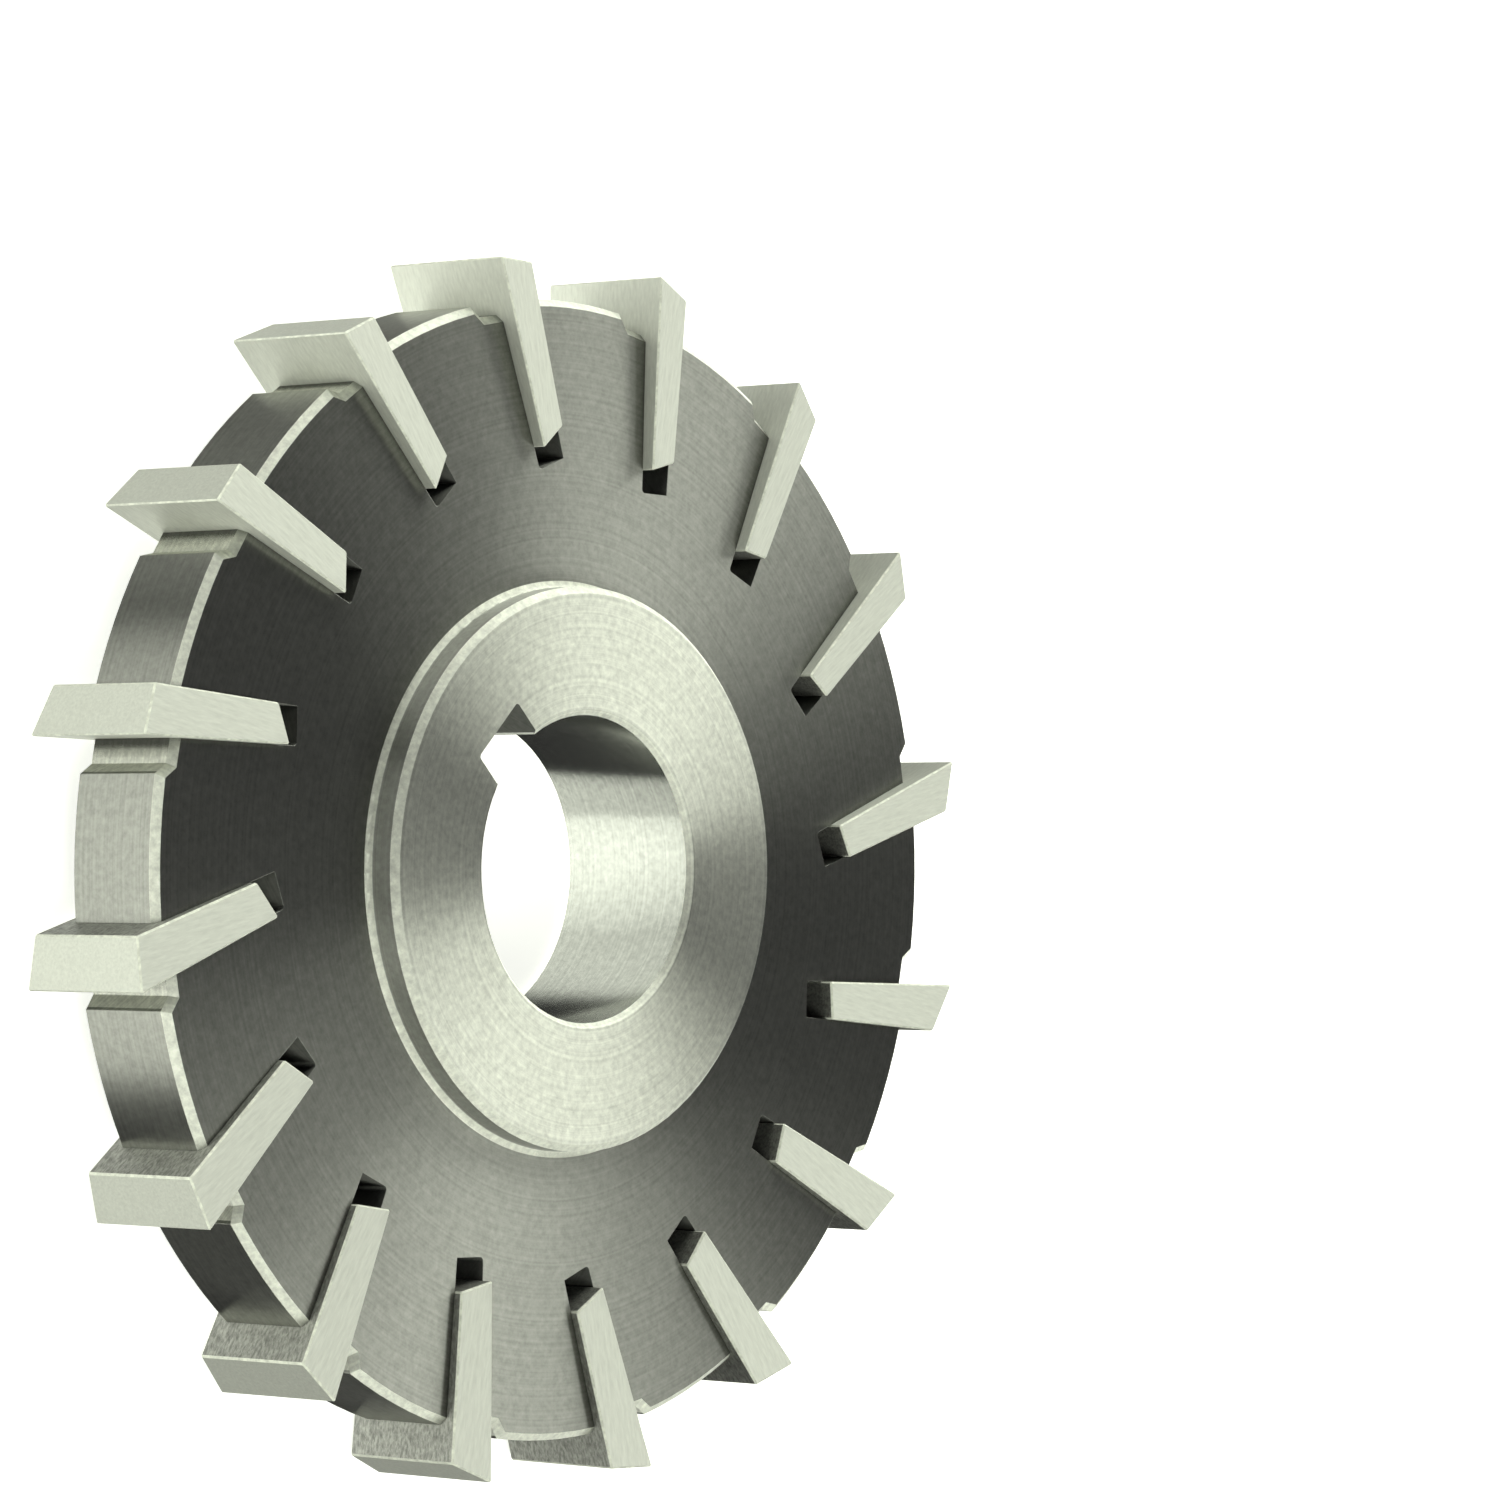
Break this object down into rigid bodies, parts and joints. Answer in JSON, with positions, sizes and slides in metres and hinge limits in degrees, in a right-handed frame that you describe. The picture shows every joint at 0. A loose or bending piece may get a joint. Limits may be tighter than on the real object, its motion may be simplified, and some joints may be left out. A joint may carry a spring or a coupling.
{
  "type": "side milling cutter",
  "caption": "Side milling cutter: a flat round steel body with a raised hub, a keyed bore and straight blades set in slots round its rim.",
  "frame": {"origin": "centre of the plane that the cutter lies on: on the bore's axis, at the back of the hub and of the blades", "axes": "+Z along the bore, out of the taller hub face; +X through the middle of the keyway"},
  "size_m": [0.1494, 0.1494, 0.0209],
  "materials": {
    "body_steel": "turned steel, darkened on the disc, bright on the hub",
    "blade_steel": "ground tool steel"
  },
  "bodies": {
    "root": {"cutter_body": "body_steel", "blade_01": "blade_steel", "blade_02": "blade_steel", "blade_03": "blade_steel", "blade_04": "blade_steel", "blade_05": "blade_steel", "blade_06": "blade_steel", "blade_07": "blade_steel", "blade_08": "blade_steel", "blade_09": "blade_steel", "blade_10": "blade_steel", "blade_11": "blade_steel", "blade_12": "blade_steel", "blade_13": "blade_steel", "blade_14": "blade_steel", "blade_15": "blade_steel", "blade_16": "blade_steel"}
  },
  "joints": []
}
